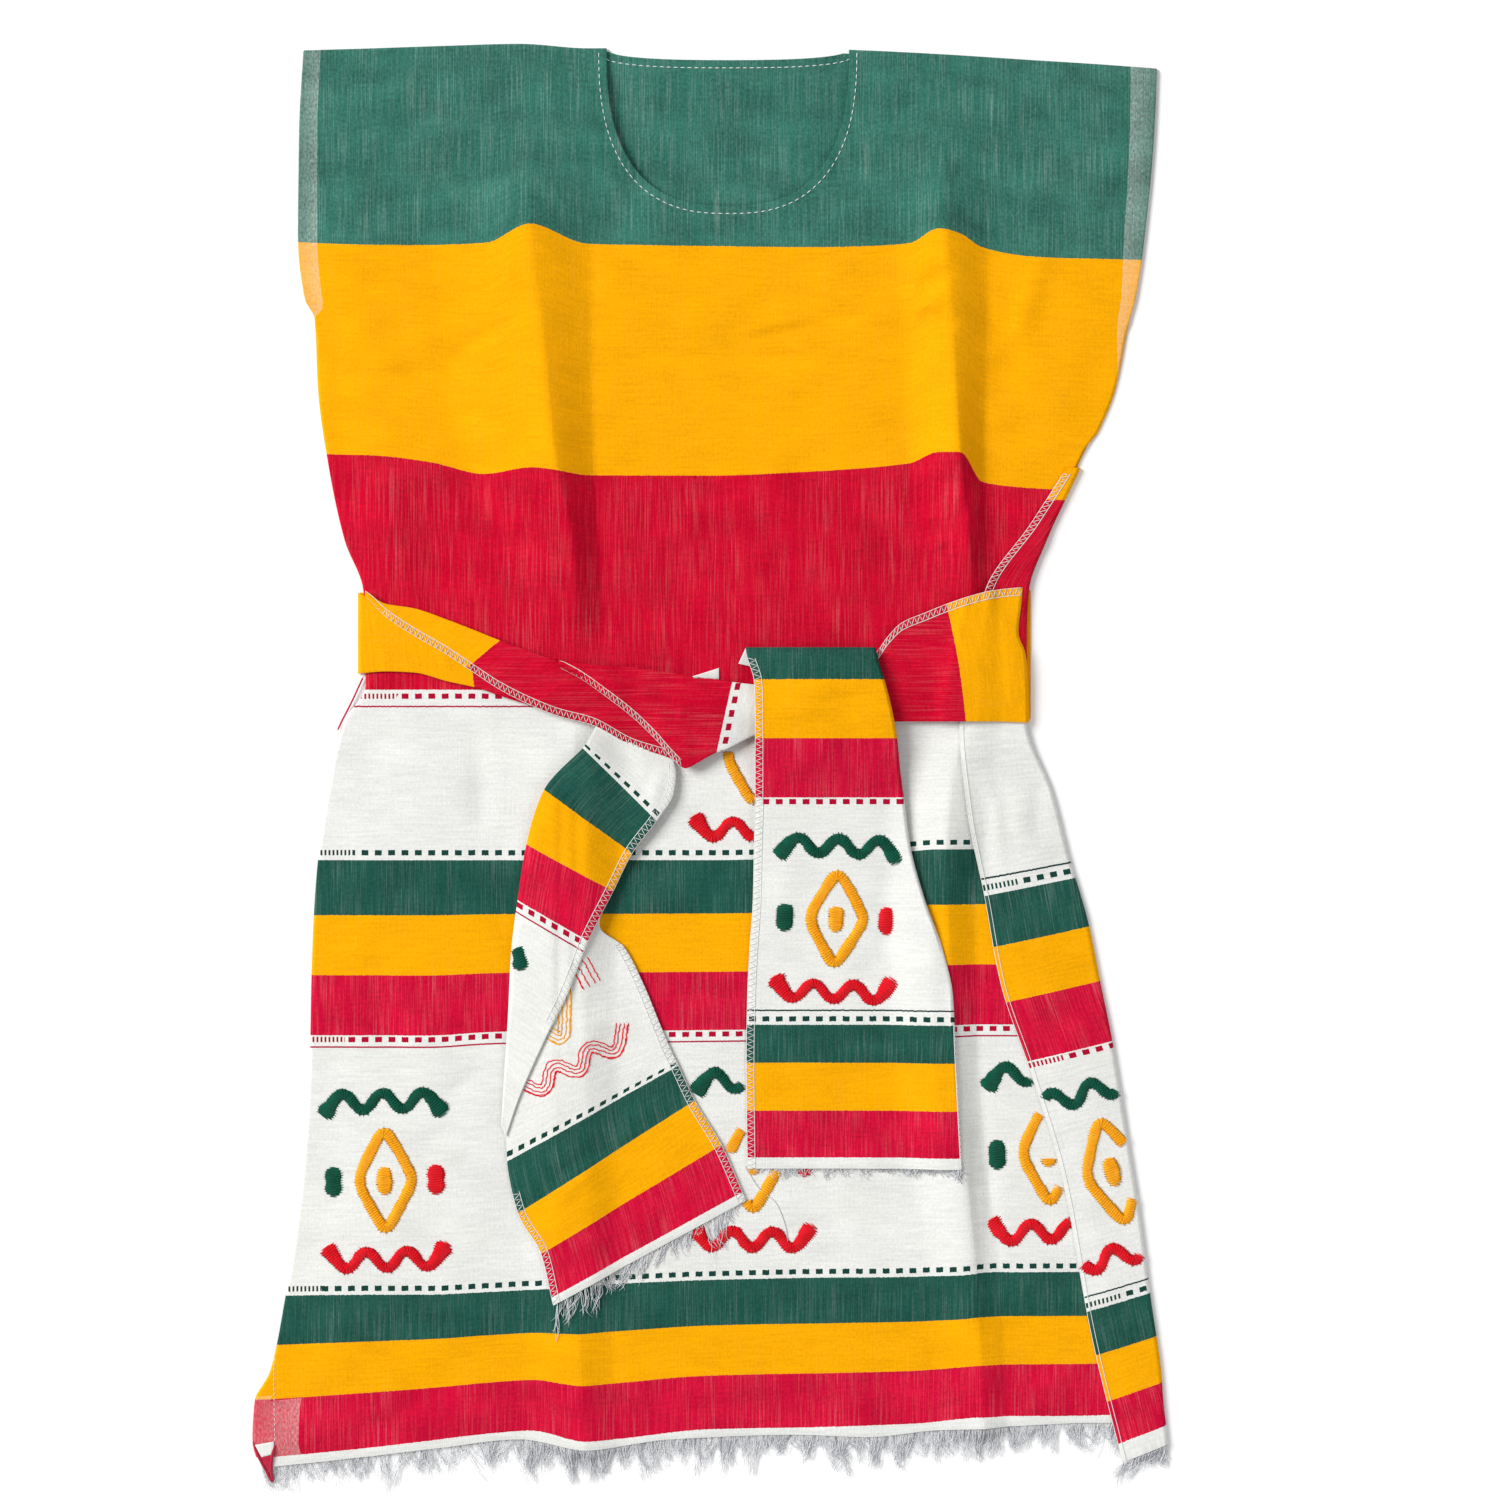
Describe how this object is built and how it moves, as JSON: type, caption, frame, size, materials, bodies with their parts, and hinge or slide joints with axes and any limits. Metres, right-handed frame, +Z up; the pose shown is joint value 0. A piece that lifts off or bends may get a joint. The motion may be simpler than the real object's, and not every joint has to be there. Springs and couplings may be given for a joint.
{
  "type": "striped cotton dress with tied sash",
  "caption": "Loose sleeveless-cut dress of striped handwoven cotton with scoop neck, fringed hem and knotted sash, laid flat.",
  "frame": {"origin": "middle of the laid-out dress, on the surface that it lies on", "axes": "+Y along the length to the neck, +Z up from the surface, +X to the right seen from above"},
  "size_m": [0.8232, 1.3142, 0.027],
  "materials": {
    "dress_cloth": "striped handwoven cotton, matt",
    "sash_cloth": "striped handwoven cotton, matt",
    "fringe_cotton": "loose cotton warp ends"
  },
  "bodies": {
    "root": {"front": "dress_cloth", "back": "dress_cloth", "back_wrap": "dress_cloth", "belt_back": "sash_cloth", "belt_left": "sash_cloth", "belt_left_lap": "sash_cloth", "belt_knot": "sash_cloth", "belt_right": "sash_cloth", "tail_left_face": "sash_cloth", "tail_left_reverse": "sash_cloth", "tail_right": "sash_cloth", "fringe_front": "fringe_cotton", "fringe_back": "fringe_cotton", "fringe_wrap": "fringe_cotton", "fringe_tail_left": "fringe_cotton", "fringe_tail_right": "fringe_cotton"}
  },
  "joints": []
}
